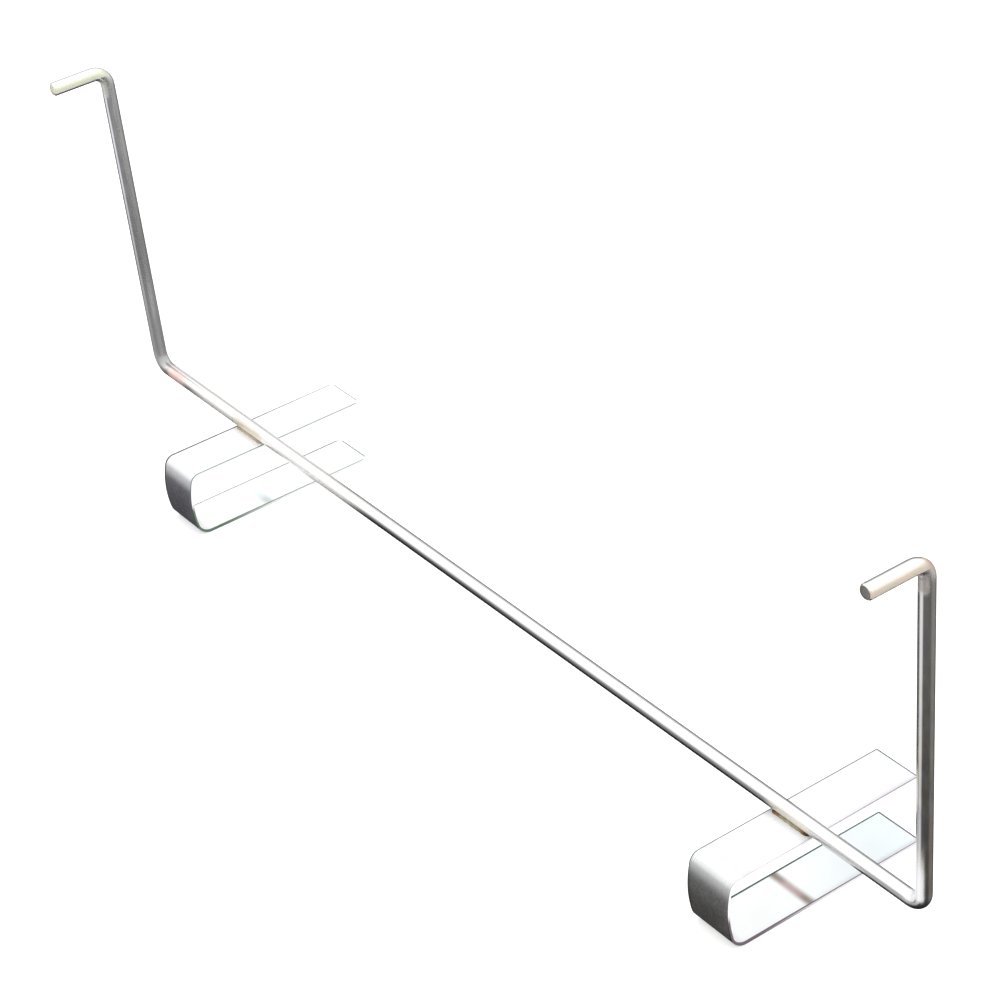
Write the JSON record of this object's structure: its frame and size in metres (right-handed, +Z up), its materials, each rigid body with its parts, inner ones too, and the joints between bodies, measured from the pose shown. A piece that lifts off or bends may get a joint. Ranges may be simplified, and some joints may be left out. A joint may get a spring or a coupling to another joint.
{
  "type": "door security bar",
  "caption": "Bent round-rod bar with hooked upright arms, welded across U-shaped flat-strip clips that slide over the edge of a door leaf.",
  "frame": {"origin": "centre of the base: half way along the bar, half way along the clips' depth, level with the underside of the clips' lower legs", "axes": "+X along the bar from the left arm to the right arm, -Y to the clips' closed front and the way the tips point, +Z up along the arms"},
  "size_m": [0.7016, 0.121, 0.244],
  "materials": {
    "rod_steel": "bright drawn round rod, satin along its length, faint yellow and violet heat tint near the welds and bends",
    "strip_steel": "bright polished flat strip with a fine grain along its length",
    "weld_steel": "unground weld bead, dull grey with straw to brown heat tint"
  },
  "bodies": {
    "root": {"formed_bar": "rod_steel", "left_clip": "strip_steel", "right_clip": "strip_steel", "left_weld_front": "weld_steel", "left_weld_rear": "weld_steel", "right_weld_front": "weld_steel", "right_weld_rear": "weld_steel"}
  },
  "joints": []
}
